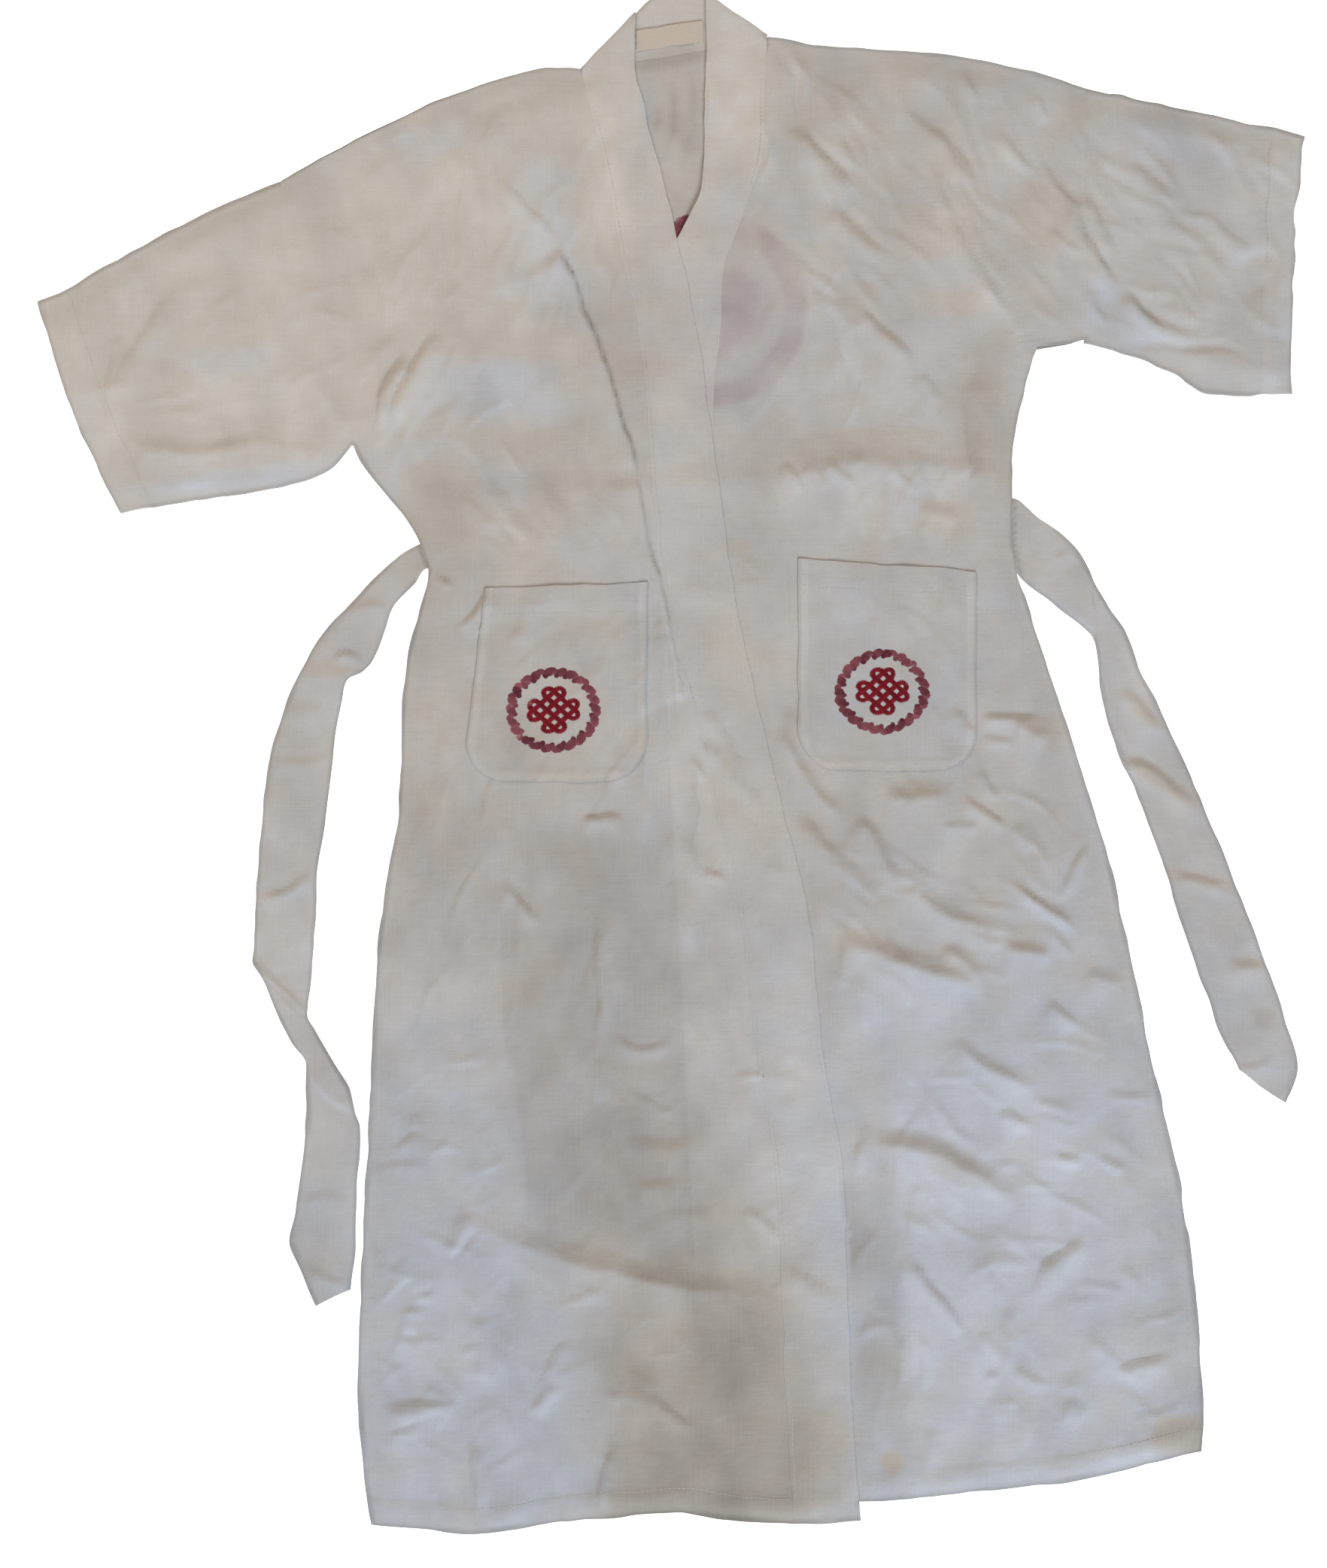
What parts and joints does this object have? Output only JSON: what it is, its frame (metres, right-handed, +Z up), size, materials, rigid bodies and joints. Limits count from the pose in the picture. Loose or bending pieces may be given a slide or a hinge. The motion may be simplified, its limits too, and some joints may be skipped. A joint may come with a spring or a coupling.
{
  "type": "embroidered robe",
  "caption": "Light wrap robe laid flat, with short wide sleeves, a long neckband, patch pockets with embroidered roundels and a cloth belt",
  "frame": {"origin": "middle of the robe's outline seen from above, on the floor it lies on", "axes": "+Y from the hem to the neck, +X to the wearer's left, +Z up out of the front of the robe"},
  "size_m": [1.009, 1.2324, 0.0094],
  "materials": {
    "robe_cloth": "matte off-white plain weave, slightly sheer",
    "band_cloth": "the same weave sewn double, so denser",
    "pocket_cloth": "the same weave, patched on, with dull maroon embroidery in the visual",
    "belt_cloth": "the same weave, in one long strip",
    "label_weave": "smooth close weave, bare"
  },
  "bodies": {
    "root": {"back_panel": "robe_cloth", "front_left": "robe_cloth", "front_right": "robe_cloth", "sleeve_left": "robe_cloth", "sleeve_right": "robe_cloth", "neckband": "band_cloth", "pocket_left": "pocket_cloth", "pocket_right": "pocket_cloth", "label": "label_weave", "belt": "belt_cloth"}
  },
  "joints": []
}
